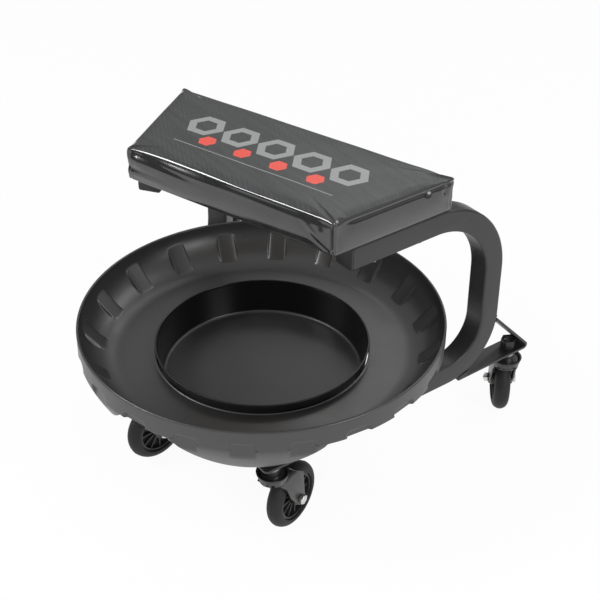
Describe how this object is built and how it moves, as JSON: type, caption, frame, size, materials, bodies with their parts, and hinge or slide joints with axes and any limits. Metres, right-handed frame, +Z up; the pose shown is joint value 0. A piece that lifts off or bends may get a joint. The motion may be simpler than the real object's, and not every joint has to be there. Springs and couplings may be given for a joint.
{
  "type": "rolling work seat",
  "caption": "Low rolling mechanic's seat: padded seat on C-shaped tubes over a round tyre-look tool tray with a lift-out parts pan, on swivel casters.",
  "frame": {"origin": "on the floor under the middle of the part's bounding box", "axes": "+Z up; +Y to the back, towards the rear braces; +X to the right as seen from the front"},
  "size_m": [0.4388, 0.4714, 0.3782],
  "materials": {
    "seat_vinyl": "glossy",
    "plywood": "matte",
    "powder_coat": "satin",
    "cap_plastic": "matte",
    "tray_plastic": "satin",
    "pan_plastic": "satin",
    "caster_steel": "satin",
    "zinc": "satin",
    "bright_steel": "glossy",
    "hub_plastic": "satin",
    "tyre_rubber": "matte"
  },
  "bodies": {
    "frame": {"seat_cushion": "seat_vinyl", "seat_board": "plywood", "seat_tee_nuts": "zinc", "seat_bolts": "zinc", "seat_bolt_washers": "zinc", "right_frame_tube": "powder_coat", "left_frame_tube": "powder_coat", "arm_end_caps": "cap_plastic", "leg_end_caps": "cap_plastic", "front_cross_strap": "powder_coat", "rear_cross_strap": "powder_coat", "right_front_plate": "powder_coat", "left_front_plate": "powder_coat", "right_rear_bracket": "powder_coat", "left_rear_bracket": "powder_coat", "tray": "tray_plastic", "tray_screws": "zinc", "tray_screw_washers": "zinc", "stem_nuts": "zinc", "stem_lock_washers": "zinc", "front_right_stem": "zinc", "front_right_race": "caster_steel", "front_right_balls": "bright_steel", "front_left_stem": "zinc", "front_left_race": "caster_steel", "front_left_balls": "bright_steel", "rear_right_stem": "zinc", "rear_right_race": "caster_steel", "rear_right_balls": "bright_steel", "rear_left_stem": "zinc", "rear_left_race": "caster_steel", "rear_left_balls": "bright_steel"},
    "parts_pan": {"parts_pan": "pan_plastic"},
    "front_right_caster": {"front_right_fork": "caster_steel", "front_right_axle_bolt": "bright_steel", "front_right_axle_nut": "bright_steel", "front_right_axle_sleeve": "zinc"},
    "front_right_wheel": {"front_right_wheel_hub": "hub_plastic", "front_right_tyre": "tyre_rubber"},
    "front_left_caster": {"front_left_fork": "caster_steel", "front_left_axle_bolt": "bright_steel", "front_left_axle_nut": "bright_steel", "front_left_axle_sleeve": "zinc"},
    "front_left_wheel": {"front_left_wheel_hub": "hub_plastic", "front_left_tyre": "tyre_rubber"},
    "rear_right_caster": {"rear_right_fork": "caster_steel", "rear_right_axle_bolt": "bright_steel", "rear_right_axle_nut": "bright_steel", "rear_right_axle_sleeve": "zinc"},
    "rear_right_wheel": {"rear_right_wheel_hub": "hub_plastic", "rear_right_tyre": "tyre_rubber"},
    "rear_left_caster": {"rear_left_fork": "caster_steel", "rear_left_axle_bolt": "bright_steel", "rear_left_axle_nut": "bright_steel", "rear_left_axle_sleeve": "zinc"},
    "rear_left_wheel": {"rear_left_wheel_hub": "hub_plastic", "rear_left_tyre": "tyre_rubber"}
  },
  "joints": [
    {"name": "pan_lift", "type": "slide", "parent": "frame", "child": "parts_pan", "axis": [0, 0, 1], "range_m": [0, 0.075]},
    {"name": "front_right_swivel", "type": "hinge", "parent": "frame", "child": "front_right_caster", "pos_m": [0.09993, -0.14812, 0.0895], "axis": [0, 0, 1], "continuous": true},
    {"name": "front_right_roll", "type": "hinge", "parent": "front_right_caster", "child": "front_right_wheel", "pos_m": [0.09935, -0.11513, 0.0385], "axis": [0.9998, 0.0175, 0], "continuous": true},
    {"name": "front_left_swivel", "type": "hinge", "parent": "frame", "child": "front_left_caster", "pos_m": [-0.09993, -0.14812, 0.0895], "axis": [0, 0, 1], "continuous": true},
    {"name": "front_left_roll", "type": "hinge", "parent": "front_left_caster", "child": "front_left_wheel", "pos_m": [-0.09307, -0.11584, 0.0385], "axis": [0.9781, -0.2079, 0], "continuous": true},
    {"name": "rear_right_swivel", "type": "hinge", "parent": "frame", "child": "rear_right_caster", "pos_m": [0.20157, 0.17423, 0.0895], "axis": [0, 0, 1], "continuous": true},
    {"name": "rear_right_roll", "type": "hinge", "parent": "rear_right_caster", "child": "rear_right_wheel", "pos_m": [0.18359, 0.20191, 0.0385], "axis": [0.8387, 0.5446, 0], "continuous": true},
    {"name": "rear_left_swivel", "type": "hinge", "parent": "frame", "child": "rear_left_caster", "pos_m": [-0.20157, 0.17423, 0.0895], "axis": [0, 0, 1], "continuous": true},
    {"name": "rear_left_roll", "type": "hinge", "parent": "rear_left_caster", "child": "rear_left_wheel", "pos_m": [-0.18359, 0.20191, 0.0385], "axis": [0.8387, -0.5446, 0], "continuous": true}
  ]
}
